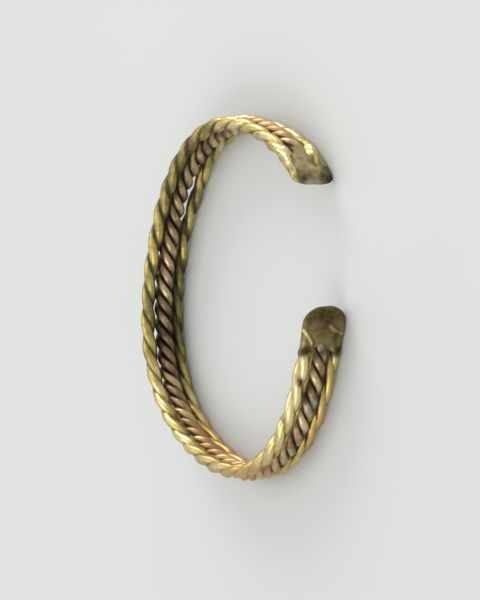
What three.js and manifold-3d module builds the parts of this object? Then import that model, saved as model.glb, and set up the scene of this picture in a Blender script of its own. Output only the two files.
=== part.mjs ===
// Open hoop earring of twisted wire, lying on its side. Millimetres, +Z up, the hoop's axis along Z and its mouth
// towards +X. Two twisted brass wires run round each edge and are soldered into a hammered plate at both ends of the
// hoop. A three-strand rope of two dark copper wires and a pale one lies between the edges, its ends let into the plates.

import Module from "manifold-3d";
import * as THREE from "three";
import { mergeVertices } from "three/addons/utils/BufferGeometryUtils.js";

// ---- Driving dimensions -------------------------------------------------------------------------------------------

const OUTER_DIAMETER = 28;
const BAND_WIDTH = 3.56;
const MOUTH_ANGLE = 42; // degrees left open between the two ends
const WELD = 1e-4; // corners closer than this are one corner

// A rope's `throw` is the distance from its middle line to the middle line of one of its wires, which leaves a hair's
// gap between them. `startAngle` is where its first wire lies at the upper end, in degrees from straight outwards.
const EDGE_ROPE = { wires: 2, wireDiameter: 0.48, throw: 0.265 };
const NEAR_EDGE = { ...EDGE_ROPE, side: 1, turns: 15.5, startAngle: 135 };
const FAR_EDGE = { ...EDGE_ROPE, side: -1, turns: 14, startAngle: 40 };
const CENTRE_ROPE = { wires: 3, wireDiameter: 0.58, throw: 0.41, turns: 18.5, startAngle: 15 };
const FACETS = { sidesOfWire: 6, stepsPerTurn: 8, quarterOfTip: 5 };

// The hammered ends. `tipRise` is how far the round tip rises past the straight sides.
const PLATE = { length: 3.4, width: 3.6, rootThickness: 1.1, tipThickness: 0.7, bevel: 0.15 };
const UPPER_END = { side: 1, tipRise: 0.9 };
const LOWER_END = { side: -1, tipRise: 1.4 };
const SOCKET = { depth: 1.1, sideGap: 0.06, endGap: 0.1 }; // where the centre rope is let into a plate
const EDGE_ROPE_ROOTED = 0.5; // length of an edge rope that is buried in a plate

// A hand-bent hoop is a little out of round: each row swells the radius in so many waves, highest at an angle.
const OUT_OF_ROUND = [
  { waves: 2, swell: 0.006, highestAt: 78 },
  { waves: 3, swell: 0.011, highestAt: 29 },
  { waves: 4, swell: 0.023, highestAt: 11 },
];

const CENTRE_STRANDS = [
  { name: "copper_strand_a", metal: "copper" },
  { name: "pale_strand", metal: "pale" },
  { name: "copper_strand_b", metal: "copper" },
];

const METALS = {
  brass: new THREE.MeshStandardMaterial({ color: 0xb79b5c, roughness: 0.36, metalness: 1 }),
  copper: new THREE.MeshStandardMaterial({ color: 0x6a4f42, roughness: 0.48, metalness: 1 }),
  pale: new THREE.MeshStandardMaterial({ color: 0xa89c86, roughness: 0.4, metalness: 1 }),
};

// ---- Sizes worked out from them -----------------------------------------------------------------------------------

const edgeRopeDiameter = EDGE_ROPE.wireDiameter + 2 * EDGE_ROPE.throw;
const centreRopeDiameter = CENTRE_ROPE.wireDiameter + 2 * CENTRE_ROPE.throw;
const edgeOffset = (BAND_WIDTH - edgeRopeDiameter) / 2; // from the band's middle to the middle of an edge rope
const bandRadius = (OUTER_DIAMETER - edgeRopeDiameter) / 2; // to the middle of all three ropes
const toRadians = THREE.MathUtils.degToRad;
const mouthHalf = toRadians(MOUTH_ANGLE / 2);
const axial = new THREE.Vector3(0, 0, 1);

// ---- Curves -------------------------------------------------------------------------------------------------------

// The middle line of the band at one height, run from the upper end to the lower one, each cut short by `inset` mm.
class BandLine extends THREE.Curve {
  constructor(height, inset) {
    super();
    this.height = height;
    this.from = mouthHalf + inset / bandRadius;
    this.to = 2 * Math.PI - this.from;
  }

  radiusAt(angle) {
    const swell = ({ waves, swell, highestAt }) => swell * Math.cos(waves * (angle - toRadians(highestAt)));
    return bandRadius * (1 + OUT_OF_ROUND.reduce((sum, row) => sum + swell(row), 0));
  }

  getPoint(t, target = new THREE.Vector3()) {
    const angle = THREE.MathUtils.lerp(this.from, this.to, t);
    const radius = this.radiusAt(angle);
    return target.set(radius * Math.cos(angle), radius * Math.sin(angle), this.height);
  }

  // The direction square to the band's line, pointing out of the hoop.
  outwardAt(u) {
    return this.getTangentAt(u).cross(axial).normalize();
  }
}

// The middle line of one wire of a rope: a left-handed helix about the rope's own line.
class WireLine extends THREE.Curve {
  constructor(ropeLine, { throw: helixRadius, turns }, startAngle) {
    super();
    Object.assign(this, { ropeLine, helixRadius, turns, startAngle });
  }

  getPoint(t, target = new THREE.Vector3()) {
    const turned = this.startAngle + 2 * Math.PI * this.turns * t;
    return target
      .copy(this.ropeLine.getPointAt(t))
      .addScaledVector(this.ropeLine.outwardAt(t), this.helixRadius * Math.cos(turned))
      .addScaledVector(axial, this.helixRadius * Math.sin(turned));
  }
}

// ---- Ropes --------------------------------------------------------------------------------------------------------

// The twisted wires of a rope, one closed tube each, spaced evenly round the rope's line.
function ropeWires(ropeLine, rope) {
  const corners = Array.from({ length: FACETS.sidesOfWire }, (_, i) => {
    const angle = (2 * Math.PI * i) / FACETS.sidesOfWire;
    return new THREE.Vector2(Math.cos(angle), Math.sin(angle)).multiplyScalar(rope.wireDiameter / 2);
  });
  return Array.from({ length: rope.wires }, (_, wire) => {
    const startAngle = toRadians(rope.startAngle) + (2 * Math.PI * wire) / rope.wires;
    return new THREE.ExtrudeGeometry(new THREE.Shape(corners), {
      steps: Math.round(rope.turns * FACETS.stepsPerTurn),
      extrudePath: new WireLine(ropeLine, rope, startAngle),
    });
  });
}

// The twisted pair along one edge of the band, both ends buried in the plates.
function edgeRope(edge) {
  return ropeWires(new BandLine(edge.side * edgeOffset, PLATE.length - EDGE_ROPE_ROOTED), edge);
}

// The rope along the band's middle, from one plate's socket to the other's.
function centreRope() {
  return ropeWires(new BandLine(0, PLATE.length - SOCKET.depth + SOCKET.endGap), CENTRE_ROPE);
}

// ---- End plates ---------------------------------------------------------------------------------------------------

// A plate's outline, seen from outside the hoop: x runs from the root at 0 to the tip, y across the band. The socket
// for the centre rope is cut into the root, and the tip is half an ellipse. The outline lies inside the plate's full
// size by the bevel, which grows back round it.
function plateOutline(tipRise) {
  const side = PLATE.width / 2 - PLATE.bevel;
  const root = PLATE.bevel;
  const shoulder = PLATE.length - PLATE.bevel - tipRise;
  const socketSide = centreRopeDiameter / 2 + SOCKET.sideGap + PLATE.bevel;
  const socketEnd = SOCKET.depth + PLATE.bevel;
  const outline = new THREE.Shape();
  outline.moveTo(root, -side);
  outline.lineTo(shoulder, -side);
  outline.absellipse(shoulder, 0, tipRise, side, -Math.PI / 2, Math.PI / 2);
  outline.lineTo(root, side);
  outline.lineTo(root, socketSide);
  outline.lineTo(socketEnd, socketSide);
  outline.lineTo(socketEnd, -socketSide);
  outline.lineTo(root, -socketSide);
  return outline;
}

// A plate hammered thinner towards its tip, with its middle at the origin and its outer face up.
function flatPlate(tipRise) {
  const plate = new THREE.ExtrudeGeometry(plateOutline(tipRise), {
    depth: PLATE.rootThickness - 2 * PLATE.bevel,
    curveSegments: FACETS.quarterOfTip,
    bevelThickness: PLATE.bevel,
    bevelSize: PLATE.bevel,
    bevelSegments: 1,
  });
  plate.translate(0, 0, PLATE.bevel - PLATE.rootThickness / 2);
  const corners = plate.attributes.position;
  for (let i = 0; i < corners.count; i++) {
    const thinned = THREE.MathUtils.lerp(1, PLATE.tipThickness / PLATE.rootThickness, corners.getX(i) / PLATE.length);
    corners.setZ(i, corners.getZ(i) * thinned);
  }
  return plate.translate(-PLATE.length / 2, 0, 0);
}

// A plate in its place on the band.
function endPlate({ side, tipRise }) {
  const line = new BandLine(0, 0);
  const fromEnd = PLATE.length / 2 / line.getLength();
  const u = side > 0 ? fromEnd : 1 - fromEnd;
  const towardsTip = line.getTangentAt(u).multiplyScalar(-side);
  const outward = line.outwardAt(u);
  const across = new THREE.Vector3().crossVectors(outward, towardsTip);
  const place = new THREE.Matrix4().makeBasis(towardsTip, across, outward).setPosition(line.getPointAt(u));
  return flatPlate(tipRise).applyMatrix4(place);
}

// ---- Solids -------------------------------------------------------------------------------------------------------

const wasm = await Module();
wasm.setup();

function toSolid(geometry) {
  const bare = geometry.clone();
  bare.deleteAttribute("normal");
  bare.deleteAttribute("uv");
  const merged = mergeVertices(bare, WELD);
  return new wasm.Manifold(
    new wasm.Mesh({
      numProp: 3,
      vertProperties: new Float32Array(merged.attributes.position.array),
      triVerts: new Uint32Array(merged.index.array),
    }),
  );
}

function toGeometry(solid) {
  const mesh = solid.getMesh();
  const geometry = new THREE.BufferGeometry();
  geometry.setAttribute("position", new THREE.BufferAttribute(new Float32Array(mesh.vertProperties), 3));
  geometry.setIndex(new THREE.BufferAttribute(new Uint32Array(mesh.triVerts), 1));
  geometry.computeVertexNormals();
  return geometry;
}

// All the brass: the two edge ropes and the two end plates, soldered into one solid.
function brassFrame() {
  const pieces = [...edgeRope(NEAR_EDGE), ...edgeRope(FAR_EDGE), endPlate(UPPER_END), endPlate(LOWER_END)];
  return toGeometry(pieces.map(toSolid).reduce((sum, piece) => sum.add(piece)));
}

// ---- The earring --------------------------------------------------------------------------------------------------

function namedMesh(name, geometry, material) {
  const mesh = new THREE.Mesh(geometry, material);
  mesh.name = name;
  return mesh;
}

const hoop = new THREE.Group();
hoop.add(namedMesh("brass_frame", brassFrame(), METALS.brass));
centreRope().forEach((strand, i) => {
  hoop.add(namedMesh(CENTRE_STRANDS[i].name, strand, METALS[CENTRE_STRANDS[i].metal]));
});

// The origin is the middle of the side that it lies on.
const box = new THREE.Box3().setFromObject(hoop);
const middle = box.getCenter(new THREE.Vector3());
hoop.position.set(-middle.x, -middle.y, -box.min.z);

const earring = new THREE.Group();
earring.add(hoop);

export default earring;
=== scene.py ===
"""The looks of an open hoop earring of twisted wire that lies on its side on a pale table.

Every length is in millimetres until `make_piece` writes a mesh in metres. A point on the earring is given by
three distances: `along` the band's middle line from its upper end, `outward` from that line, and `height` above
it, towards the hoop's near rim. `Band.place` bends those three into the part's own frame.
"""

import logging
import math
from dataclasses import dataclass
from enum import Enum

import bmesh
import bpy
import numpy as np
from mathutils import Matrix, Vector


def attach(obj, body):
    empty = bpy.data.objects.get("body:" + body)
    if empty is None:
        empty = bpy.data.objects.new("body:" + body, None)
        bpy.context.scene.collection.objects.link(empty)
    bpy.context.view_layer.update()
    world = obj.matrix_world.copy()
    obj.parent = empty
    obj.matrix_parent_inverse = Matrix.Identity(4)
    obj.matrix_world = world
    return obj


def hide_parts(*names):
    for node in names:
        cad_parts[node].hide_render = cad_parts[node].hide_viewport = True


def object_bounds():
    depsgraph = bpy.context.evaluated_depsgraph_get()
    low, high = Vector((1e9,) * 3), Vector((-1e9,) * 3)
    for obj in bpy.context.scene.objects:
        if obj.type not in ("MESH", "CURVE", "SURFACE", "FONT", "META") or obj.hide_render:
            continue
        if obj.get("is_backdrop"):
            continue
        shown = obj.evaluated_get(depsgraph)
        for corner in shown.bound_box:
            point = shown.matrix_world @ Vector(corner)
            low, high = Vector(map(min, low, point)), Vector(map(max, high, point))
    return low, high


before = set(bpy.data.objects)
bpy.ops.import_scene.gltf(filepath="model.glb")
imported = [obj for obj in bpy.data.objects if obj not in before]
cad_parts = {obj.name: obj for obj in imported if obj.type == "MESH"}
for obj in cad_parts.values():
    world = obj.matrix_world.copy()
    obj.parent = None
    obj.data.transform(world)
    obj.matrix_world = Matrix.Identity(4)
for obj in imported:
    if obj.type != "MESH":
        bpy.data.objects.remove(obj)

log = logging.getLogger("earring")
Array = np.ndarray
Material = bpy.types.Material
Socket = bpy.types.NodeSocket

METRES = 0.001
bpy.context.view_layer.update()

DRAWN_IN = 1e-4  # the share of its size to which a skin shrinks where it closes
MERGED = 2e-7  # corners closer than this are one corner, in metres
NO_LENGTH = 1e-8  # an edge shorter than this is dropped, in metres
WEAR_AND_SHADING = "wear"  # the attribute that says how far the metal is rubbed; on the plates and seams it also carries painted highlight on the folds' crests and painted shade at their feet, in the hammer's bowls and in the seams
SKIN_MAP = "skin"  # the map of distances round a piece and along it


# ---- The band ----------------------------------------------------------------


@dataclass(frozen=True)
class Wave:
    """One wave of the hand-bent hoop's radius: its count in a turn, its share of the radius, and its crest."""

    waves: int
    swell: float
    highest_at: float

    def at(self, angle: Array) -> Array:
        """The swell at each angle: a cosine of the wave's count times the angle from its crest."""
        return self.swell * np.cos(self.waves * (angle - math.radians(self.highest_at)))


@dataclass(frozen=True)
class Band:
    """The bent middle line that all the ropes and both end plates follow."""

    radius: float = 13.495
    mouth_angle: float = 42.0
    centre: tuple[float, float, float] = (0.5297, 0.1434, 1.8)
    out_of_round: tuple[Wave, ...] = (Wave(2, 0.006, 78.0), Wave(3, 0.011, 29.0), Wave(4, 0.023, 11.0))
    run_on: float = 0.1  # radians by which the line is worked out past both ends
    steps: int = 6000

    @property
    def mouth_half(self) -> float:
        """Half the open angle between the hoop's ends, in radians."""
        return math.radians(self.mouth_angle / 2)

    @property
    def length(self) -> float:
        """Measure the middle line from one end of the hoop to the other.

        Returns:
            The line's length.
        """
        along, points, _ = self.table()
        angle = np.unwrap(np.arctan2(points[:, 1], points[:, 0]))
        return float(np.interp(math.tau - self.mouth_half, angle, along))

    def table(self) -> tuple[Array, Array, Array]:
        """Work out the middle line: the radius is a circle's plus a few cosine waves of the angle.

        Returns:
            The distance along the line, its points in rows of x and y, and the directions out of the hoop.
        """
        start, end = self.mouth_half, math.tau - self.mouth_half
        angle = np.linspace(start - self.run_on, end + self.run_on, self.steps + 1)
        radius = self.radius * (1 + sum(wave.at(angle) for wave in self.out_of_round))
        points = np.stack([radius * np.cos(angle), radius * np.sin(angle)], axis=1)
        lengths = np.linalg.norm(np.diff(points, axis=0), axis=1)
        along = np.concatenate([[0.0], np.cumsum(lengths)])
        along -= np.interp(start, angle, along)
        tangent = np.gradient(points, along, axis=0)
        outward = np.stack([tangent[:, 1], -tangent[:, 0]], axis=1)
        outward /= np.linalg.norm(outward, axis=1, keepdims=True)
        return along, points, outward

    def place(self, along: Array, outward: Array, height: Array) -> Array:
        """Bend straight distances round the hoop.

        Args:
            along: Distance from the upper end, along the middle line.
            outward: Distance from the middle line, away from the middle of the hoop.
            height: Distance above the middle line.

        Returns:
            The points in the part's frame, one more axis than the three arrays given.
        """
        line, points, away = self.table()
        x = np.interp(along, line, points[:, 0]) + outward * np.interp(along, line, away[:, 0])
        y = np.interp(along, line, points[:, 1]) + outward * np.interp(along, line, away[:, 1])
        return np.stack([x, y, height], axis=-1) + np.array(self.centre)


BAND = Band()


# ---- Small tools for shapes --------------------------------------------------


def ease(value: Array, low: float, high: float) -> Array:
    """Rise smoothly from 0 at `low` to 1 at `high`: three squares less two cubes of the share of the way."""
    share = np.clip((value - low) / (high - low), 0.0, 1.0)
    return share * share * (3 - 2 * share)


def hump(value: Array, at: float, spread: float) -> Array:
    """Rise to 1 at `at` and fall away like a bell: e to the minus square of the distance in spreads."""
    return np.exp(-(((value - at) / spread) ** 2))


def softer_of(first: Array, second: Array, blend: float) -> Array:
    """Take the higher of two heights with a fillet between: their mean and a rounded half difference."""
    return 0.5 * (first + second + np.sqrt((first - second) ** 2 + blend**2)) - 0.25 * blend


def quarter_round(way_in: Array) -> Array:
    """Rise from 0 at an edge to 1 a full way in, as a quarter circle does."""
    return np.sqrt(1 - (1 - np.clip(way_in, 0.0, 1.0)) ** 2)


def ripple(rows: int, columns: int, row_waves: float, column_waves: float, seed: int) -> Array:
    """Make smooth unevenness that meets itself at the grid's edges.

    White noise is taken to its waves, each wave is weakened by a bell of its count, and it is taken back.

    Args:
        rows: Rows of the grid.
        columns: Columns of the grid.
        row_waves: About how many waves run over the rows.
        column_waves: About how many waves run over the columns.
        seed: Which unevenness it is.

    Returns:
        A grid of heights with a mean of 0 and a usual size of 1.
    """
    noise = np.random.default_rng(seed).standard_normal((rows, columns))
    down = np.fft.fftfreq(rows, 1 / rows)[:, None] / row_waves
    over = np.fft.fftfreq(columns, 1 / columns)[None, :] / column_waves
    smooth = np.fft.ifft2(np.fft.fft2(noise) * np.exp(-(down**2) - over**2)).real
    smooth -= smooth.mean()
    return smooth / smooth.std()


# ---- Tarnish and painted light -----------------------------------------------


class Stain(Enum):
    """The kinds of stain, and of painted light and shade, that lie on the metal, each carried by an attribute of
    its own.
    """

    FLUSH = "flush_and_reflection"  # warm orange bloom left by the torch, and painted warm reflection and highlight
    SOOT_AND_SHADE = "soot_and_shade"  # near-black oxide, and painted dark reflection on the lower plate's tip
    RUST = "rust"  # red-brown oxide
    VERDIGRIS = "verdigris"  # blue-green bloom
    SHINE = "shine"  # metal rubbed bright, and painted highlight
    FILM = "film"  # the dull skin of solder and scale on hammered metal


STRAY = (0.16, 0.1)  # how far the edge of a stain strays along the band and across it


@dataclass(frozen=True)
class Patch:
    """One place of a stain: where its middle lies, how far it spreads along and across, and how strong it is.

    A middle whose `along` is less than 0 is measured back from the band's lower end.
    """

    along: float
    height: float
    spread_along: float
    spread_height: float
    strength: float

    def on(self, along: Array, height: Array) -> Array:
        """Spread the stain like a bell along the band and across it, each bent by a slow wave of the other.

        Args:
            along: Distance of each point from the band's upper end.
            height: Height of each point above the band's middle.

        Returns:
            The strength of the stain at each point.
        """
        middle = self.along if self.along >= 0 else BAND.length + self.along
        wavering = along + STRAY[0] * np.sin(4.3 * height + 7 * abs(self.along))
        slanting = height + STRAY[1] * np.sin(4.9 * along + 5 * self.height)
        reach = hump(wavering, middle, self.spread_along) * hump(slanting, self.height, self.spread_height)
        return self.strength * reach


PATCHES: dict[Stain, tuple[Patch, ...]] = {
    Stain.FLUSH: (  # over the top beside the upper plate, and round the bottom: torch bloom, and painted warm reflection and highlight
        Patch(8.4, 0.1, 4.4, 0.75, 1.2),
        Patch(51.0, -0.3, 8.0, 1.35, 1.2),
        Patch(58.0, 1.2, 3.6, 0.9, 0.8),
        Patch(-9.5, -1.3, 3.0, 0.6, 0.7),
    ),
    Stain.SOOT_AND_SHADE: (
        # Burnt onto the upper plate, and where the ropes enter it.
        Patch(4.05, 0.55, 0.45, 0.45, 1.1),
        Patch(0.4, 0.8, 0.6, 0.9, 0.72),
        Patch(0.35, -1.2, 0.9, 0.8, 0.8),
        Patch(1.2, -1.65, 1.1, 0.35, 0.6),
        # The same at the lower plate, whose tip also carries painted dark reflection.
        Patch(-3.45, 1.45, 0.5, 0.75, 1.0),
        Patch(-3.45, -1.4, 0.5, 0.55, 1.0),
        Patch(-2.2, -1.0, 0.9, 0.3, 0.6),
        Patch(-3.5, 0.0, 0.55, 0.6, 0.7),
        # Painted dark reflection over the lower plate's domed tip.
        Patch(-0.35, 0.0, 1.15, 3.0, 0.74),
        # On the ropes over the top, along the bottom and at the lower right.
        Patch(6.5, 2.0, 4.0, 0.45, 0.45),
        Patch(46.0, 0.95, 4.5, 0.35, 0.65),
        Patch(53.0, 1.5, 4.5, 0.7, 0.4),
        Patch(-6.6, 0.62, 1.1, 0.3, 0.8),
    ),
    Stain.RUST: (  # along the bottom, in two spots at the lower right, and over the lower plate's middle
        Patch(48.5, -0.2, 4.5, 0.9, 0.5),
        Patch(-5.75, 1.5, 0.4, 0.42, 1.0),
        Patch(-9.2, 1.7, 0.35, 0.3, 0.6),
        Patch(-1.9, -0.2, 0.9, 1.2, 0.4),
        Patch(-1.0, 0.3, 0.6, 1.3, 0.45),
    ),
    Stain.VERDIGRIS: (  # one spot on the lower right rope, and the lower plate's far edge
        Patch(-7.9, -0.2, 0.7, 0.5, 0.9),
        Patch(-1.5, -1.8, 1.0, 0.25, 0.5),
    ),
    Stain.SHINE: (
        # Painted highlights and rubbed metal over the top, along the lower left and on the lower right rope.
        Patch(12.5, 0.0, 3.0, 4.0, 0.35),
        Patch(7.0, -1.5, 3.8, 0.5, 1.0),
        Patch(44.0, 0.6, 5.5, 0.4, 0.3),
        Patch(45.0, -1.5, 6.0, 0.45, 0.85),
        Patch(-7.2, 1.2, 2.6, 0.6, 0.5),
        # Painted highlights and rubbed metal on the borders and the middles of both plates.
        Patch(2.4, 1.5, 2.8, 0.3, 1.0),
        Patch(1.5, -0.4, 0.6, 0.5, 0.3),
        Patch(-2.6, 1.5, 0.8, 0.3, 0.6),
        Patch(-2.4, -1.7, 0.5, 0.25, 0.5),
        Patch(-2.1, 0.1, 0.4, 0.45, 0.3),
    ),
}


# ---- Meshes ------------------------------------------------------------------


def ring_faces(rows: int, columns: int) -> Array:
    """Join a grid's corners into faces of four, row by row, with the last column beside the first.

    Args:
        rows: Rows of the grid.
        columns: Columns of the grid.

    Returns:
        The numbers of each face's corners.
    """
    row, column = np.meshgrid(np.arange(rows - 1), np.arange(columns), indexing="ij")
    here, beside = row * columns + column, row * columns + (column + 1) % columns
    return np.stack([here, here + columns, beside + columns, beside], axis=-1).reshape(-1, 4)


@dataclass
class Skin:
    """A closed skin worked out on a grid whose rows run along it and whose columns go round it.

    `lengthwise` and `around` are distances over the metal, and `girth` is the whole way round. The first and the
    last row are drawn in, or folded flat, so that merging their corners closes the skin.
    """

    along: Array
    outward: Array
    height: Array
    wear: Array
    lengthwise: Array
    around: Array
    girth: float = 0.0
    film: Array | None = None

    def arrays(self) -> dict[str, Array]:
        """Turn the grid into points, faces, texture places and tarnish.

        Returns:
            The points, the faces as rows of four, their corners' texture places, and one value a point per mask.
        """
        points = BAND.place(self.along, self.outward, self.height).reshape(-1, 3)
        around = np.concatenate([self.around, self.around[:, :1] + self.girth], 1)
        lengthwise = np.concatenate([self.lengthwise, self.lengthwise[:, :1]], 1)
        place = np.stack([around, lengthwise], -1)
        corners = (place[:-1, :-1], place[1:, :-1], place[1:, 1:], place[:-1, 1:])
        places = np.stack(corners, axis=2).reshape(-1, 2)
        masks = {WEAR_AND_SHADING: self.wear.ravel()}
        for stain in Stain:
            patches = (patch.on(self.along, self.height) for patch in PATCHES.get(stain, ()))
            masks[stain.value] = np.clip(sum(patches, np.zeros_like(self.wear)), 0.0, 1.0).ravel()
        if self.film is not None:
            masks[Stain.FILM.value] = self.film.ravel()
        return {"points": points, "faces": ring_faces(*self.along.shape), "places": places, **masks}


@dataclass(frozen=True)
class Piece:
    """What a piece is called, which node it stands for and which finish it takes."""

    name: str
    node: str = "brass_frame"
    slot: str = "aged_brass"


def put_in_scene(name: str, data: bpy.types.ID) -> bpy.types.Object:
    """Make an object and link it into the scene.

    Args:
        name: The object's name.
        data: The mesh, light or camera that it shows.

    Returns:
        The object.
    """
    thing = bpy.data.objects.new(name, data)
    bpy.context.scene.collection.objects.link(thing)
    return thing


def close_up(mesh: bpy.types.Mesh) -> None:
    """Merge a mesh's doubled corners, drop what has no length, and turn its faces outwards and smooth.

    Args:
        mesh: The mesh.
    """
    body = bmesh.new()
    body.from_mesh(mesh)
    bmesh.ops.remove_doubles(body, verts=body.verts, dist=MERGED)
    bmesh.ops.dissolve_degenerate(body, dist=NO_LENGTH, edges=body.edges)
    bmesh.ops.recalc_face_normals(body, faces=body.faces)
    for face in body.faces:
        face.smooth = True
    body.to_mesh(mesh)
    body.free()
    mesh.update()


def make_piece(piece: Piece, skins: list[Skin], material: Material) -> None:
    """Join skins into one mesh, put it into the scene and let it ride with the part.

    Args:
        piece: The piece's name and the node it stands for.
        skins: The closed skins that it is made of.
        material: The finish that it wears.
    """
    parts = [skin.arrays() for skin in skins]
    starts = np.cumsum([0] + [len(part["points"]) for part in parts[:-1]])
    points = np.concatenate([part["points"] for part in parts]) * METRES
    faces = np.concatenate([part["faces"] + start for part, start in zip(parts, starts)])
    places = np.concatenate([part["places"] for part in parts])

    mesh = bpy.data.meshes.new(piece.name)
    mesh.from_pydata(points, [], faces.tolist())
    mesh.uv_layers.new(name=SKIN_MAP).data.foreach_set("uv", places.astype(np.float32).ravel())
    for mask in [WEAR_AND_SHADING] + [stain.value for stain in Stain]:
        values = np.concatenate([part[mask] for part in parts]).astype(np.float32)
        mesh.attributes.new(mask, "FLOAT", "POINT").data.foreach_set("value", values)
    mesh.materials.append(material)
    close_up(mesh)

    thing = put_in_scene(piece.name, mesh)
    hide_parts(piece.node)
    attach(thing, "root")
    log.info("%s: %d corners, %d faces", piece.name, len(mesh.vertices), len(mesh.polygons))


# ---- Finishes ----------------------------------------------------------------


def paint(code: int) -> tuple[float, float, float, float]:
    """Turn a screen colour into the linear colour that the shader mixes.

    Args:
        code: The colour's red, green and blue, such as 0xB79B5C.

    Returns:
        The linear colour, opaque.
    """
    shades = [((code >> shift) & 255) / 255 for shift in (16, 8, 0)]
    linear = [s / 12.92 if s <= 0.04045 else ((s + 0.055) / 1.055) ** 2.4 for s in shades]
    return (*linear, 1.0)


class Bench:
    """A material's nodes, laid out one after another."""

    def __init__(self, name: str) -> None:
        """Start an empty material.

        Args:
            name: The material's name.
        """
        self.material = bpy.data.materials.new(name)
        self.material.use_nodes = True
        self.tree = self.material.node_tree
        self.tree.nodes.clear()

    def add(self, kind: str, inputs: dict[str, object] | None = None, **settings: object) -> bpy.types.Node:
        """Add a node.

        Args:
            kind: The node's type without the word ShaderNode.
            inputs: What each socket is set to, or the socket that feeds it.
            settings: The node's own settings.

        Returns:
            The node.
        """
        node = self.tree.nodes.new("ShaderNode" + kind)
        for key, value in settings.items():
            setattr(node, key, value)
        for key, value in (inputs or {}).items():
            socket = node.inputs[key]
            if isinstance(value, Socket):
                self.tree.links.new(value, socket)
            else:
                socket.default_value = value
        return node

    def mask(self, name: str) -> Socket:
        """Read one of the piece's masks."""
        return self.add("Attribute", attribute_name=name, attribute_type="GEOMETRY").outputs["Fac"]

    def work_out(self, operation: str, *values: object) -> Socket:
        """Work out one step of arithmetic.

        Args:
            operation: The Math node's operation.
            values: Numbers or sockets, in the node's own order.

        Returns:
            The result.
        """
        return self.add("Math", dict(enumerate(values)), operation=operation).outputs[0]

    def centred(self, noise: Socket, span: float, middle: float = 0.0) -> Socket:
        """Stretch noise over a span about a middle."""
        return self.work_out("MULTIPLY_ADD", noise, span, middle - span / 2)

    def fade(self, value: Socket, low: float, high: float, start: float = 0.0, end: float = 1.0) -> Socket:
        """Rise smoothly from `start` to `end` as a value goes from low to high.

        Args:
            value: What is followed.
            low: The value where the rise starts.
            high: The value where it ends.
            start: The result below low.
            end: The result above high.

        Returns:
            The result.
        """
        inputs = {"Value": value, "From Min": low, "From Max": high, "To Min": start, "To Max": end}
        return self.add("MapRange", inputs, interpolation_type="SMOOTHSTEP").outputs["Result"]

    def blend(self, share: object, first: object, second: object) -> Socket:
        """Mix two colours.

        Args:
            share: How much of the second one shows.
            first: A colour or a socket.
            second: A colour or a socket.

        Returns:
            The mixed colour.
        """
        return self.add("Mix", {0: share, 6: first, 7: second}, data_type="RGBA").outputs[2]

    def noise(self, where: Socket, scale: float, detail: float, roughness: float = 0.55) -> Socket:
        """Read cloudy noise.

        Args:
            where: The coordinates.
            scale: How many clouds there are to a metre, or to a unit of the texture place.
            detail: How many finer layers are added.
            roughness: How strong the finer layers are.

        Returns:
            A value from 0 to 1 with its middle near a half.
        """
        inputs = {"Vector": where, "Scale": scale, "Detail": detail, "Roughness": roughness}
        return self.add("TexNoise", inputs).outputs[0]


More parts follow.
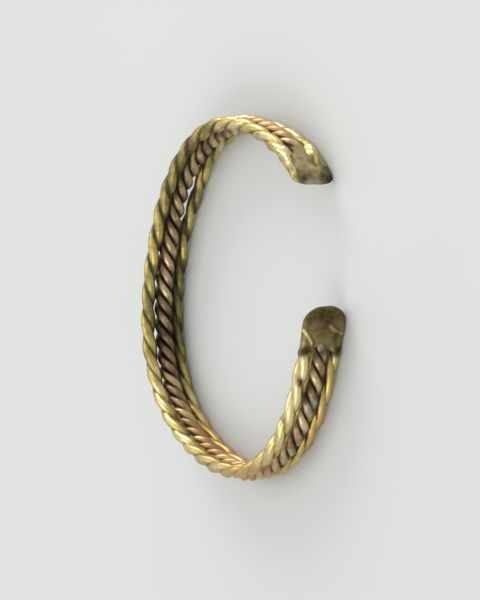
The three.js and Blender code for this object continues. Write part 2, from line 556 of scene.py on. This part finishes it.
@dataclass(frozen=True)
class MetalFinish:
    """Old metal: grime in its grooves, a dull aged body and bright rubbed crests."""

    name: str
    # The darkest colour: grime in the grooves, and painted shade at fold feet, hammer bowls and seams.
    grime_and_shade: int
    aged: int
    clean: int
    rubbed_and_highlight: int
    dull_roughness: float
    rubbed_roughness: float
    wear_shift: float = 0.0
    flush_and_reflection: int = 0xC89C58
    soot_and_shade: int = 0x2E2813
    rust: int = 0x5A2A18
    verdigris: int = 0xA2B8A2
    film: int = 0xB4A680
    steps: tuple[tuple[float, float], ...] = ((0.05, 0.4), (0.35, 0.75), (0.75, 1.1))
    cloud_span: float = 0.7
    grain_span: float = 0.4
    shine_gain: float = 0.6
    drawn_span: float = 0.16
    darkened_roughness: float = 0.18
    darkened_loss: float = 0.12
    scratch_depth: float = 0.012
    pit_depth: float = 0.004

    def build(self) -> Material:
        """Lay out the material's nodes.

        The share of wear is the piece's own mask, broken up by clouds of three sizes. It picks the colour
        between grime, aged, clean and rubbed metal, in three steps of wear, and the gloss with it. The film and
        the stains lie over that. Lines drawn along the wire and small pits are bumps.

        Returns:
            The material.
        """
        bench = Bench(self.name)
        place = bench.add("TexCoord").outputs["Object"]
        coarse = bench.noise(place, 520.0, 3.0)
        middling = bench.noise(place, 1500.0, 3.0)
        fine = bench.noise(place, 3600.0, 5.0, 0.65)
        skin = bench.add("UVMap", uv_map=SKIN_MAP).outputs["UV"]
        streaks = bench.add("Mapping", {"Vector": skin, "Scale": (16.0, 0.9, 1.0)}).outputs[0]
        drawn = bench.noise(streaks, 1.0, 3.0, 0.6)

        grain = bench.centred(fine, self.grain_span, self.wear_shift)
        broken = bench.work_out("ADD", grain, bench.centred(coarse, self.cloud_span))
        broken = bench.work_out("ADD", broken, bench.centred(middling, self.cloud_span))
        shine = bench.mask(Stain.SHINE.value)
        wear = bench.work_out("ADD", bench.mask(WEAR_AND_SHADING), broken)
        # The shine mask adds rubbed metal and painted highlights to the wear.
        wear = bench.work_out("MULTIPLY_ADD", shine, self.shine_gain, wear)

        colour = self.colour(bench, wear, shine, fine, middling)
        burnt_and_shaded = bench.work_out("MAXIMUM", bench.mask(Stain.SOOT_AND_SHADE.value), bench.mask(Stain.RUST.value))
        gloss = bench.fade(wear, 0.2, 1.0, self.dull_roughness, self.rubbed_roughness)
        rough = bench.work_out("ADD", gloss, bench.centred(drawn, self.drawn_span))
        rough = bench.work_out("ADD", rough, bench.work_out("MULTIPLY", burnt_and_shaded, self.darkened_roughness))
        rough = bench.add("Clamp", {"Value": rough, "Min": 0.12, "Max": 0.85}).outputs[0]
        bare = bench.fade(wear, 0.0, 0.35, 0.7, 1.0)
        metal = bench.work_out("SUBTRACT", bare, bench.work_out("MULTIPLY", burnt_and_shaded, self.darkened_loss))

        scratches = {"Strength": 0.7, "Distance": self.scratch_depth * METRES, "Height": drawn}
        scratched = bench.add("Bump", scratches).outputs[0]
        pits = {"Strength": 0.8, "Distance": self.pit_depth * METRES, "Height": fine, "Normal": scratched}
        pitted = bench.add("Bump", pits).outputs[0]
        surface = {"Base Color": colour, "Roughness": rough, "Metallic": metal, "Normal": pitted}
        bench.add("OutputMaterial", {"Surface": bench.add("BsdfPrincipled", surface).outputs[0]})
        return bench.material

    def colour(self, bench: Bench, wear: Socket, shine: Socket, fine: Socket, middling: Socket) -> Socket:
        """Mix the metal's colour, then the film over it, then the stains, which clouds break up.

        Args:
            bench: The material's nodes.
            wear: The share of wear.
            shine: The mask of rubbed places and painted highlights, which have no film.
            fine: The small clouds.
            middling: The middling clouds.

        Returns:
            The colour.
        """
        colour: object = paint(self.grime_and_shade)
        for code, (low, high) in zip((self.aged, self.clean, self.rubbed_and_highlight), self.steps):
            colour = bench.blend(bench.fade(wear, low, high), colour, paint(code))
        skin_tone = bench.blend(bench.fade(wear, 0.25, 0.8), paint(self.aged), paint(self.film))
        outside_shine = bench.work_out("SUBTRACT", 1.0, shine)
        film = bench.work_out("MULTIPLY", bench.mask(Stain.FILM.value), outside_shine)
        colour = bench.blend(film, colour, skin_tone)
        patchy = bench.work_out("MULTIPLY_ADD", middling, 1.2, 0.4)
        cloud = bench.work_out("MULTIPLY", bench.work_out("ADD", fine, 0.5), patchy)
        for stain, code, full in ((Stain.FLUSH, self.flush_and_reflection, 0.8), (Stain.RUST, self.rust, 0.95),
                                  (Stain.VERDIGRIS, self.verdigris, 0.8), (Stain.SOOT_AND_SHADE, self.soot_and_shade, 0.92)):
            share = bench.fade(bench.work_out("MULTIPLY", bench.mask(stain.value), cloud), 0.0, 1.0, 0.0, full)
            colour = bench.blend(share, colour, paint(code))
        return colour


AGED_BRASS = MetalFinish("aged brass", grime_and_shade=0x504826, aged=0x8C8050, clean=0xC8B46C, rubbed_and_highlight=0xE2D19C,
                         dull_roughness=0.5, rubbed_roughness=0.36)
DARK_COPPER = MetalFinish("dark copper", grime_and_shade=0x32271C, aged=0x5C4A38, clean=0x8A745A, rubbed_and_highlight=0xC4AE92,
                          dull_roughness=0.52, rubbed_roughness=0.38, wear_shift=-0.02, flush_and_reflection=0xD4AE7C)
PALE_METAL = MetalFinish("pale metal", grime_and_shade=0x342A1A, aged=0x74664A, clean=0xAE9C72, rubbed_and_highlight=0xD8C8A0,
                         dull_roughness=0.5, rubbed_roughness=0.34, flush_and_reflection=0xE0B984)


# ---- Ropes -------------------------------------------------------------------


@dataclass(frozen=True)
class Bow:
    """A place where a rope stands off its usual line, by so much in height and so much outwards."""

    along: float
    spread: float
    lift: float
    out: float


@dataclass(frozen=True)
class Rope:
    """Round wires twisted left-handed about one line that follows the band.

    The turns are counted from `inset` inside both ends of the band, and the wires stop short of the ends by
    `reach`. The rope is hammered thinner by `squash` at the plates, which eases off over `squash_ends` from the
    ends. Wear rises over the span `worn`, and `dulled` gives a duller stretch: its middle, spread and loss.
    `hand` is the twist's unevenness: two waves, each so many radians high and so many to the rope.
    """

    wires: int
    wire_diameter: float
    throw: float
    turns: float
    start_angle: float
    side: int
    inset: float
    reach: tuple[float, float]
    bows: tuple[Bow, ...]
    dulled: tuple[float, float, float]
    seed: int
    outside: float = 1.78
    squash: float = 0.0
    squash_ends: tuple[float, float] = (2.8, 6.0)
    worn: tuple[float, float] = (0.44, 0.82)
    hand: tuple[tuple[float, float], tuple[float, float]] = ((0.10, 5.3), (0.07, 8.9))
    unevenness: float = 0.022
    flatness: float = 0.05
    mottling: float = 0.12
    rows_per_mm: float = 11.0
    columns: int = 18

    @property
    def middle(self) -> float:
        """The rope's own height: an edge rope's far side lies at `outside` from the band's middle."""
        return self.side * (self.outside - self.throw - self.wire_diameter / 2)

    @property
    def lean(self) -> float:
        """How much longer a leaning wire's section is than a square one: one over the cosine, less one."""
        pitch = (BAND.length - 2 * self.inset) / self.turns
        return math.hypot(1.0, math.tau * self.throw / pitch) - 1

    def phase(self, along: Array, wire: int) -> Array:
        """Turn a wire about the rope: the angle grows evenly along it, with a slow unevenness of the hand.

        Args:
            along: Distance from the band's upper end.
            wire: Which wire of the rope.

        Returns:
            The wire's angle from straight outwards, in radians.
        """
        share = (along - self.inset) / (BAND.length - 2 * self.inset)
        (slow, slow_waves), (quick, quick_waves) = self.hand
        hand = slow * np.sin(math.tau * share * slow_waves + self.seed)
        hand = hand + quick * np.sin(math.tau * share * quick_waves)
        even = math.radians(self.start_angle) + math.tau * self.turns * share
        return even + hand + math.tau * wire / self.wires

    def flattened(self, along: Array) -> Array:
        """The share by which the rope is hammered thin: all of `squash` at the plates, less further away."""
        from_end = np.minimum(along, BAND.length - along)
        return self.squash * (1 - ease(from_end, *self.squash_ends))

    def line(self, along: Array) -> Array:
        """The height of the rope's line: its own height plus a bell for each bow."""
        return self.middle + sum(bow.lift * hump(along, bow.along, bow.spread) for bow in self.bows)

    def stand_off(self, along: Array) -> Array:
        """How far the rope's line stands out from the band's: a bell for each bow."""
        return sum(bow.out * hump(along, bow.along, bow.spread) for bow in self.bows)

    def skin(self, wire: int) -> Skin:
        """Carry a nearly round section along one wire's helix.

        The wire's line is a helix of radius `throw` about the rope's line. The section is a circle that is a
        little uneven, slightly flat where it touches its neighbours, and domed at both ends. Wear grows with the
        distance from the rope's line. It falls on the side of an edge rope that faces the band's middle, and on
        both sides of the centre rope.

        Args:
            wire: Which wire of the rope.

        Returns:
            The wire's skin.
        """
        start, end = self.reach[0], BAND.length - self.reach[1]
        rows = int((end - start) * self.rows_per_mm)
        along = np.linspace(start, end, rows)[:, None]
        turn = np.linspace(0, math.tau, self.columns, endpoint=False)[None, :]
        phase = self.phase(along, wire)
        thin = 1 - self.flattened(along)
        middle, out_line = self.line(along), self.stand_off(along)
        line = np.concatenate([along, out_line + self.throw * np.cos(phase),
                               middle + self.throw * np.sin(phase)], 1)
        tangent = np.gradient(line, along[:, 0], axis=0)
        tangent /= np.linalg.norm(tangent, axis=1, keepdims=True)
        away = np.concatenate([np.zeros_like(phase), np.cos(phase), np.sin(phase)], 1)
        away -= (away * tangent).sum(1, keepdims=True) * tangent
        away /= np.linalg.norm(away, axis=1, keepdims=True)
        beside = np.cross(tangent, away)

        radius = self.wire_diameter / 2
        uneven = 1 + self.unevenness * ripple(rows, self.columns, rows / 14, 1.2, self.seed * 10 + wire)
        uneven *= 1 - self.flatness * hump(np.abs(turn - math.pi), 0.0, 0.6)
        cap = quarter_round(np.minimum(along - start, end - along) / radius)
        size = radius * uneven * np.maximum(cap, DRAWN_IN)
        grid = (line[:, None, :] + (size * np.cos(turn))[..., None] * away[:, None, :]
                + (size * np.sin(turn))[..., None] * beside[:, None, :])
        outward, height = out_line + (grid[..., 1] - out_line) * thin, grid[..., 2]

        out = np.hypot((outward - out_line) / thin, height - middle) / (self.throw + radius)
        if self.side:
            sheltered = ease(-self.side * (height - middle), 0.1, 0.45)
        else:
            sheltered = ease(np.abs(height), 0.3, 0.7)
        dull_middle, dull_spread, loss = self.dulled
        dull = hump(along, dull_middle, dull_spread)
        wear = ease(out - 0.1 * dull, *self.worn) * (1 - 0.5 * sheltered) - loss * dull
        wear += self.mottling * ripple(rows, self.columns, rows / 30, 1.0, self.seed * 10 + wire + 5)
        lengthwise, around = np.broadcast_to(along, height.shape), np.broadcast_to(turn * radius, height.shape)
        return Skin(grid[..., 0], outward, height, np.clip(wear, 0, 1), lengthwise, around, math.tau * radius)


@dataclass(frozen=True)
class Seam:
    """Solder run in between an edge rope and the centre one, its darkness partly painted shade in the gap: its
    height, and where it starts and stops.
    """

    height: float
    start: float
    end: float
    # A low wear leaves the seam dark: grime, and painted shade between the ropes.
    worn: float = 0.1
    half_width: float = 0.22
    half_thickness: float = 0.13
    taper: float = 0.8
    unevenness: float = 0.2
    mottling: float = 0.08
    rows_per_mm: float = 6.0
    columns: int = 12

    def skin(self) -> Skin:
        """Carry a lens-shaped section along the band, uneven in size and drawn out to a point at both ends.

        Returns:
            The seam's skin.
        """
        rows = int((self.end - self.start) * self.rows_per_mm)
        along = np.linspace(self.start, self.end, rows)[:, None]
        turn = np.linspace(0, math.tau, self.columns, endpoint=False)[None, :]
        from_end = np.minimum(along - self.start, self.end - along)
        size = np.maximum(np.sqrt(ease(from_end, 0.0, self.taper)), DRAWN_IN)
        lumps = ripple(rows, 1, rows / 5, 1.0, int(self.start * 10))
        size = size * (1 + self.unevenness * np.clip(lumps, -1.5, 1.5))
        outward = self.half_thickness * size * np.cos(turn)
        height = self.height + self.half_width * size * np.sin(turn)
        wear = self.worn + self.mottling * ripple(rows, self.columns, rows / 5, 1.0, int(self.end))
        here, around = np.broadcast_to(along, height.shape), np.broadcast_to(turn * self.half_width, height.shape)
        return Skin(here, outward, height, np.clip(wear, 0, 1), here, around, math.tau * self.half_width)


@dataclass(frozen=True)
class EdgeRopes:
    """The two brass pairs that run along the band's edges, and the solder along them."""

    near: Rope = Rope(wires=2, wire_diameter=0.80, throw=0.18, turns=15.5, start_angle=135.0, side=1, inset=2.9,
                      reach=(3.15, 3.15), bows=(Bow(36.5, 4.2, 0.0, 0.12),), dulled=(24.0, 15.0, 0.5), seed=3,
                      outside=1.86)
    far: Rope = Rope(wires=2, wire_diameter=0.74, throw=0.165, turns=14.0, start_angle=40.0, side=-1, inset=2.9,
                     reach=(3.15, 3.15), bows=(Bow(24.8, 2.4, -0.03, -0.2),), dulled=(32.0, 12.0, 0.6), seed=4)
    near_seams: tuple[Seam, ...] = (Seam(0.78, 2.8, 29.0),
                                    Seam(0.7, 41.5, 72.2, worn=0.42, half_width=0.24, half_thickness=0.3))
    far_seams: tuple[Seam, ...] = (Seam(-0.78, 2.8, 22.6), Seam(-0.78, 27.2, 72.2))

    def build(self, brass: Material) -> None:
        """Make both ropes, and the solder along each, one piece each.

        Args:
            brass: The finish of the brass.
        """
        for name, rope in (("near_edge_rope", self.near), ("far_edge_rope", self.far)):
            make_piece(Piece(name), [rope.skin(wire) for wire in range(rope.wires)], brass)
        for name, seams in (("near_seam", self.near_seams), ("far_seam", self.far_seams)):
            make_piece(Piece(name), [seam.skin() for seam in seams], brass)


@dataclass(frozen=True)
class CentreRope:
    """The three-strand rope between the edges: two strands of dark copper and a pale one."""

    rope: Rope = Rope(wires=3, wire_diameter=0.7, throw=0.405, turns=18.5, start_angle=15.0, side=0, inset=2.4,
                      reach=(3.5, 2.65), bows=(Bow(24.8, 2.4, 0.07, 0.16), Bow(36.5, 4.2, -0.06, -0.08)),
                      dulled=(35.0, 7.0, 0.25), seed=6, squash=0.36, worn=(0.4, 0.92))

    def build(self, copper: Material, pale: Material) -> None:
        """Make the three strands, one piece each.

        Args:
            copper: The finish of the dark strands.
            pale: The finish of the light strand.
        """
        strands = ((Piece("copper_wire_a", "copper_strand_a", "dark_copper"), copper),
                   (Piece("pale_wire", "pale_strand", "pale_metal"), pale),
                   (Piece("copper_wire_b", "copper_strand_b", "dark_copper"), copper))
        for wire, (piece, metal) in enumerate(strands):
            make_piece(piece, [self.rope.skin(wire)], metal)


# ---- End plates --------------------------------------------------------------


class HoopEnd(Enum):
    """The hoop's two ends."""

    UPPER = "upper"
    LOWER = "lower"


@dataclass(frozen=True)
class Fold:
    """The edge of a lap of metal, straight between two points given as distance from the root and height.

    It is steep on the right of the way from its start to its end, and slopes away slowly on the left. Its crest
    is brightened as rubbed metal and painted highlight, and its foot darkened as painted shadow and grime.
    """

    start: tuple[float, float]
    end: tuple[float, float]
    rise: float
    bright: float = 1.0
    steep: float = 0.12
    slow: float = 0.7
    fade: tuple[float, float] = (-0.15, 0.4)  # the shares of its length over which it fades in and out
    rubbed_and_highlight: tuple[float, float] = (-0.05, 0.15)  # where the crest's rubbed metal and painted highlight lie across it, and its spread
    shadow_and_grime: tuple[float, float] = (0.2, 0.11)  # the same for the painted shadow and grime at its foot

    def across(self, x: Array, y: Array) -> tuple[Array, Array]:
        """Measure how far each point lies to the right of the fold, and how fully it lies beside it.

        Args:
            x: Distance from the plate's root.
            y: Height above the band's middle.

        Returns:
            The distance, less than 0 on the left, and a share that falls to 0 at both ends of the fold.
        """
        ax, ay = self.start
        dx, dy = self.end[0] - ax, self.end[1] - ay
        length = math.hypot(dx, dy)
        share = ((x - ax) * dx + (y - ay) * dy) / length**2
        right = ((x - ax) * dy - (y - ay) * dx) / length
        return right, ease(np.minimum(share, 1 - share), *self.fade)

    def height(self, x: Array, y: Array) -> Array:
        """Rise slowly from the left to the crest and drop steeply on the right, each like half a bell."""
        right, beside = self.across(x, y)
        return self.rise * beside * hump(right, 0.0, np.where(right > 0, self.steep, self.slow))

    def crest(self, x: Array, y: Array) -> Array:
        """The share of rubbed metal and painted highlight along the crest."""
        right, beside = self.across(x, y)
        return self.bright * beside * hump(right, *self.rubbed_and_highlight)

    def foot_shadow_and_grime(self, x: Array, y: Array) -> Array:
        """The share of painted shadow and grime under the steep side."""
        right, beside = self.across(x, y)
        return beside * hump(right, *self.shadow_and_grime)


@dataclass(frozen=True)
class EndPlate:
    """A paddle hammered out of the ropes' soldered ends.

    The tip lies at `reach` from the root and is rounded over the last `tip_rise`; `tip_squareness` is 2 for half
    an ellipse. The root laps over the centre rope by `lap`, less than 0 where it is cut back, and comes further
    by `root_slant` on its far side. The wires have sunk in at `wires_show` from the root. The sides draw in by
    the share `waist` away from the plate's middle.
    """

    end: HoopEnd
    tip_rise: float
    tip_squareness: float
    polish: float
    lap: float
    root_slant: float
    wires_show: float
    ropes: tuple[Rope, ...]
    folds: tuple[Fold, ...]
    seed: int
    reach: float = 3.4
    tip_lean: float = 0.0
    blows: int = 18
    blow_size: tuple[float, float] = (0.45, 0.85)
    blow_depth: float = 0.17
    length: float = 3.4
    half_width: float = 1.8
    lap_spread: float = 0.75
    root_at: float = -0.2
    root_thickness: float = 0.92
    tip_thickness: float = 0.62
    waist: float = 0.045
    solder: float = 0.065
    fillet: float = 0.12
    roughness: float = 0.008
    crest_wear_and_highlight: float = 0.9
    rim_wear: float = 0.18
    foot_darkening: float = 0.5
    dent_shade_and_grime: float = 4.0
    rows: int = 150
    columns: int = 130
    rim_points: int = 401
    side_points: int = 60

    def along(self, x: Array) -> Array:
        """Turn the distance from the plate's root, towards its tip, into distance along the band."""
        return self.length - x if self.end is HoopEnd.UPPER else BAND.length - self.length + x

    def lapped(self, y: Array) -> Array:
        """How far the root comes over the centre rope at each height: a bell about the band's middle."""
        return self.lap * hump(y, 0.0, self.lap_spread)

    def outline(self, y: Array) -> tuple[Array, Array]:
        """Find where the plate starts and stops at each height.

        The root is a shallow wave that laps over the centre rope, or is cut back round it. The tip is half an
        ellipse, or squarer, and may slope back towards the near rim.

        Args:
            y: Height above the band's middle.

        Returns:
            The distances of the root and the tip from the plate's root line.
        """
        across = np.clip(np.abs(y) / self.half_width, 0.0, 1.0)
        root = self.root_at + 0.14 * np.cos(3.1 * y + self.seed) * (1 - across**4) + 0.08 * np.sin(7.3 * y)
        root = root - self.lapped(y) - self.root_slant * (0.5 - 0.5 * y / self.half_width)
        uneven = 0.015 * np.sin(4.2 * y + self.seed) * (1 - across**2)
        power = self.tip_squareness
        tip = self.reach - self.tip_rise + self.tip_rise * (1 - across**power) ** (1 / power) + uneven
        tip = tip - self.tip_lean * (0.5 + 0.5 * y / self.half_width) ** 2
        return root, tip

    def ropes_under(self, x: Array, y: Array, side: int) -> Array:
        """Find how high the ropes' wires would stand at each point of one face.

        Each wire is a cylinder about its helix, and the highest of them counts.

        Args:
            x: Distance from the plate's root.
            y: Height above the band's middle.
            side: 1 for the outer face and -1 for the inner one.

        Returns:
            The height above the band's surface, 0 where there is no wire.
        """
        along = self.along(x)
        height = np.zeros_like(x)
        for rope in self.ropes:
            radius = rope.wire_diameter / 2
            thin = 1 - rope.flattened(along)
            for wire in range(rope.wires):
                phase = rope.phase(along, wire)
                slant = 1 + rope.lean * np.cos(phase) ** 2
                off = (y - rope.line(along) - rope.throw * np.sin(phase)) / slant
                dome = np.sqrt(np.clip(radius**2 - off**2, 0.0, None))
                dome = dome * (1 + rope.lean * np.sin(phase) ** 2)
                here = np.where(dome > 0, (side * rope.throw * np.cos(phase) + dome) * thin, 0.0)
                height = np.maximum(height, here)
        return height

    def dents(self, x: Array, y: Array) -> Array:
        """Work out the hammer's blows: each is a shallow bowl, and the deepest one counts.

        Args:
            x: Distance from the plate's root.
            y: Height above the band's middle.

        Returns:
            How deep the face is beaten in.
        """
        chance = np.random.default_rng(self.seed)
        at_x = chance.uniform(0.3, self.length, self.blows)[:, None, None]
        at_y = chance.uniform(-self.half_width, self.half_width, self.blows)[:, None, None]
        size = chance.uniform(*self.blow_size, self.blows)[:, None, None]
        away = ((x - at_x) ** 2 + (y - at_y) ** 2) / size**2
        return (np.clip(1 - away, 0.0, None) * self.blow_depth * size).max(axis=0)

    def face(self, x: Array, y: Array, rim: Array, side: int) -> tuple[Array, ...]:
        """Work out the height, wear and film of one face.

        Hammered metal fills up between the wires as the plate leaves its root, while the wires sink into it; the
        higher of the two shows. Folds rise from the outer face, the hammer's blows go down into both, and the
        rim rounds off over a quarter circle. Folds' crests, the rim and standing wires are rubbed bright, and the
        folds' crests also carry a painted highlight. Painted shadow and grime darken the folds' feet and the
        hammer's bowls.

        Args:
            x: Distance from the plate's root.
            y: Height above the band's middle.
            rim: Distance to the plate's outline.
            side: 1 for the outer face and -1 for the inner one.

        Returns:
            The height above the band's surface, the share of wear and the share of film.
        """
        gone = ease(x + self.lapped(y), self.root_at, self.wires_show)
        thinned = (self.tip_thickness - self.root_thickness) * np.clip(x / self.length, 0, 1)
        fill = 0.5 * (self.root_thickness + thinned) * (0.45 + 0.55 * ease(x, -0.4, 1.2))
        wires = self.ropes_under(x, y, side) * (1 - gone) + self.solder
        folds = self.folds if side > 0 else ()
        nothing = np.zeros_like(x)
        bent = x + 0.06 * np.sin(3.7 * y + self.seed), y + 0.06 * np.sin(4.1 * x + self.seed)
        raised = sum((fold.height(*bent) for fold in folds), nothing)
        beaten = self.dents(x, y) * ease(x, 0.0, 1.2)
        height = softer_of(fill, wires, self.fillet) + raised - beaten
        height += self.roughness * ripple(*x.shape, 11, 9, self.seed + side)
        height *= quarter_round(rim / (0.16 + 0.14 * ease(x, -0.2, 0.8)))

        uneven = np.clip(0.85 + 0.2 * ripple(*x.shape, 9, 9, self.seed + 3), 0.5, 1.0)
        crest = uneven * sum((fold.crest(*bent) for fold in folds), nothing)
        foot_shadow_and_grime = sum((fold.foot_shadow_and_grime(*bent) for fold in folds), nothing)
        proud = np.clip((wires - fill) / self.fillet, 0.0, 1.0) * ease(np.abs(y), 0.6, 1.0)
        film = (1 - proud) * (1 - np.clip(crest, 0, 1)) * (1 - 0.5 * np.clip(foot_shadow_and_grime, 0, 1))
        # The folds' feet are darkened as painted shadow and grime.
        wear = self.polish + self.rim_wear * hump(rim, 0.1, 0.12) - self.foot_darkening * foot_shadow_and_grime
        # The hammer's bowls are darkened as painted shade and grime.
        wear = wear - self.dent_shade_and_grime * (beaten - 0.05)
        # The folds' crests are brightened as rubbed metal and painted highlight.
        wear = np.maximum(wear, self.crest_wear_and_highlight * np.clip(crest, 0, 1))
        wear = wear + (self.crest_wear_and_highlight - wear) * proud * self.polish * 1.5
        return height, np.clip(wear, 0.0, 1.0), np.clip(film, 0.0, 1.0)

    def border(self) -> Array:
        """Walk the plate's outline: the root and the tip, dense at the sides, and the two straight sides.

        Returns:
            Points in rows of distance from the root and height.
        """
        y = np.sin(np.linspace(-0.5, 0.5, self.rim_points) * math.pi) * self.half_width
        root, tip = self.outline(y)
        way = np.linspace(0, 1, self.side_points)
        sides = [np.stack([root[i] + (tip[i] - root[i]) * way, np.full_like(way, y[i])], 1) for i in (0, -1)]
        return np.concatenate([np.stack([root, y], 1), np.stack([tip, y], 1), *sides])

    def skin(self) -> Skin:
        """Work out the plate's closed skin.

        One parameter goes across the plate, dense at its sides; the other goes from the root over the outer face
        to the tip and back over the inner face. Both faces meet at the outline.

        Returns:
            The plate's skin.
        """
        across = np.sin(np.linspace(-0.5, 0.5, self.rows) * math.pi)[:, None] * self.half_width
        there = 0.5 - 0.5 * np.cos(np.linspace(0, math.pi, self.columns // 2 + 1))[None, :]
        root, tip = self.outline(across)
        x = root + (tip - root) * there
        y = np.broadcast_to(across, x.shape)
        border = self.border()
        rim = np.hypot(x[..., None] - border[:, 0], y[..., None] - border[:, 1]).min(axis=-1)
        rim[:, [0, -1]] = 0.0
        rim[[0, -1]] = 0.0

        outer, outer_wear, outer_film = self.face(x, y, rim, 1)
        inner, inner_wear, inner_film = self.face(x, y, rim, -1)
        drawn_in = y * (1 - self.waist * (1 - hump(x, self.length / 2, 1.5)))
        both = ((x, x), (drawn_in, drawn_in), (outer, -inner), (outer_wear, inner_wear), (outer_film, inner_film))
        loop_x, height, outward, wear, film = (
            np.concatenate([front, back[:, -2:0:-1]], 1) for front, back in both)
        return Skin(self.along(loop_x), outward, height, wear, loop_x, height, film=film)

    def build(self, brass: Material) -> None:
        """Make the plate in its finish, `brass`."""
        make_piece(Piece(f"{self.end.value}_end_plate"), [self.skin()], brass)


# ---- The studio --------------------------------------------------------------


@dataclass(frozen=True)
class Softbox:
    """A rectangular light that faces the earring: its place and size in metres, its power in watts."""

    name: str
    place: tuple[float, float, float]
    size: tuple[float, float]
    power: float
    colour: tuple[float, float, float] = (1.0, 1.0, 1.0)

    def hang(self) -> None:
        """Hang the light in its place."""
        data = bpy.data.lights.new(self.name, "AREA")
        data.shape = "RECTANGLE"
        data.size, data.size_y = self.size
        data.energy = self.power
        data.color = self.colour
        thing = put_in_scene(self.name, data)
        thing.location = self.place
        thing.rotation_mode = "QUATERNION"
        thing.rotation_quaternion = (-Vector(self.place)).to_track_quat("-Z", "Y")


@dataclass(frozen=True)
class Studio:
    """A pale table, soft lights and a long lens."""

    view_from: tuple[float, float, float] = (0.8363, -0.2698, 0.4774)
    roll: float = 1.63
    distance: float = 0.5
    lens: float = 385.0
    clip: tuple[float, float] = (0.01, 20.0)
    table_reach: tuple[float, float] = (0.02, 3.0)
    table_rings: int = 24
    table_sectors: int = 72
    table_colours: tuple[int, int] = (0xD0D2D0, 0xCECFCE)
    table_clouds: float = 14.0
    table_roughness: float = 0.55
    sky: tuple[float, float, float, float] = (0.93, 0.95, 0.96, 1.0)
    sky_strength: float = 0.72
    softboxes: tuple[Softbox, ...] = (
        Softbox("key", (-0.10, 0.52, 0.20), (0.34, 0.20), 1.3, (1.0, 0.98, 0.94)),
        Softbox("top", (-0.15, 0.10, 0.60), (0.45, 0.45), 1.1),
        Softbox("front", (0.10, -0.50, 0.40), (0.45, 0.35), 1.2, (1.0, 0.97, 0.92)),
    )

    def camera(self) -> None:
        """Aim the camera at the earring, with the hoop's near rim to the left as if it were held upright."""
        low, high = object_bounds()
        back = Vector(self.view_from).normalized()
        left = Vector((0, 0, 1)) - back * back.z
        left.normalize()
        up = Matrix.Rotation(math.radians(self.roll), 3, back) @ left.cross(back)
        data = bpy.data.cameras.new("camera")
        data.lens = self.lens
        data.clip_start, data.clip_end = self.clip
        thing = put_in_scene("camera", data)
        turn = Matrix((up.cross(back), up, back)).transposed().to_4x4()
        thing.matrix_world = Matrix.Translation((low + high) / 2 + back * self.distance) @ turn
        bpy.context.scene.camera = thing

    def table(self) -> None:
        """Lay the table: a round sheet whose rows are circles, nearly white, with a faint cloudiness."""
        rings = np.concatenate([[0.0], np.geomspace(*self.table_reach, self.table_rings)])[:, None]
        turn = np.linspace(0, math.tau, self.table_sectors, endpoint=False)[None, :]
        points = np.stack([rings * np.cos(turn), rings * np.sin(turn), 0.0 * rings * turn], -1).reshape(-1, 3)
        mesh = bpy.data.meshes.new("table")
        mesh.from_pydata(points, [], ring_faces(self.table_rings + 1, self.table_sectors).tolist())
        close_up(mesh)
        if mesh.polygons[0].normal.z < 0:
            mesh.flip_normals()
        bench = Bench("table")
        cloud = bench.noise(bench.add("TexCoord").outputs["Object"], self.table_clouds, 2.0)
        plain, clouded = self.table_colours
        shade = bench.blend(bench.fade(cloud, 0.3, 0.7), paint(plain), paint(clouded))
        shader = bench.add("BsdfPrincipled", {"Base Color": shade, "Roughness": self.table_roughness})
        bench.add("OutputMaterial", {"Surface": shader.outputs[0]})
        mesh.materials.append(bench.material)
        put_in_scene("table", mesh)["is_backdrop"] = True

    def world(self) -> None:
        """Surround the table with even pale light."""
        world = bpy.data.worlds.new("studio")
        bpy.context.scene.world = world
        world.use_nodes = True
        background = world.node_tree.nodes["Background"]
        background.inputs["Color"].default_value = self.sky
        background.inputs["Strength"].default_value = self.sky_strength

    def build(self) -> None:
        """Set up the whole studio."""
        self.camera()
        self.table()
        self.world()
        for softbox in self.softboxes:
            softbox.hang()
        bpy.context.scene.view_settings.view_transform = "Standard"


# ---- The earring -------------------------------------------------------------


@dataclass(frozen=True)
class Earring:
    """The whole hoop: edge ropes, centre rope and two hammered ends."""

    edges: EdgeRopes = EdgeRopes()
    centre: CentreRope = CentreRope()

    def plates(self) -> tuple[EndPlate, EndPlate]:
        """Describe the two end plates, which the ropes run into.

        Returns:
            The upper plate and the lower one.
        """
        ropes = (self.edges.near, self.edges.far, self.centre.rope)
        upper = EndPlate(HoopEnd.UPPER, tip_rise=0.8, tip_squareness=2.8, polish=0.6, lap=0.3, root_slant=1.1,
                         wires_show=1.6, ropes=ropes, seed=11,
                         folds=(Fold((-1.2, 1.3), (3.7, 1.5), 0.09), Fold((2.25, -0.75), (-1.2, -1.35), 0.09)))
        lower = EndPlate(HoopEnd.LOWER, tip_rise=1.1, tip_squareness=2.3, polish=0.15, lap=-0.6, root_slant=0.0,
                         wires_show=0.8, ropes=ropes, seed=23, reach=3.6, tip_lean=0.36,
                         folds=(Fold((0.3, 0.75), (1.95, 1.9), 0.12, bright=1.3),
                                Fold((2.35, 0.2), (1.1, -2.0), 0.12, bright=1.4),
                                Fold((1.9, 1.2), (2.0, -0.6), 0.07, bright=0.1, steep=0.25)))
        return upper, lower

    def build(self) -> None:
        """Build every piece in the order in which a maker would join them."""
        brass = AGED_BRASS.build()
        self.edges.build(brass)
        self.centre.build(DARK_COPPER.build(), PALE_METAL.build())
        for plate in self.plates():
            plate.build(brass)


def main() -> None:
    """Build the earring and its studio."""
    logging.basicConfig(level=logging.INFO, format="%(name)s: %(message)s")
    Earring().build()
    Studio().build()


if __name__ == "__main__":
    main()
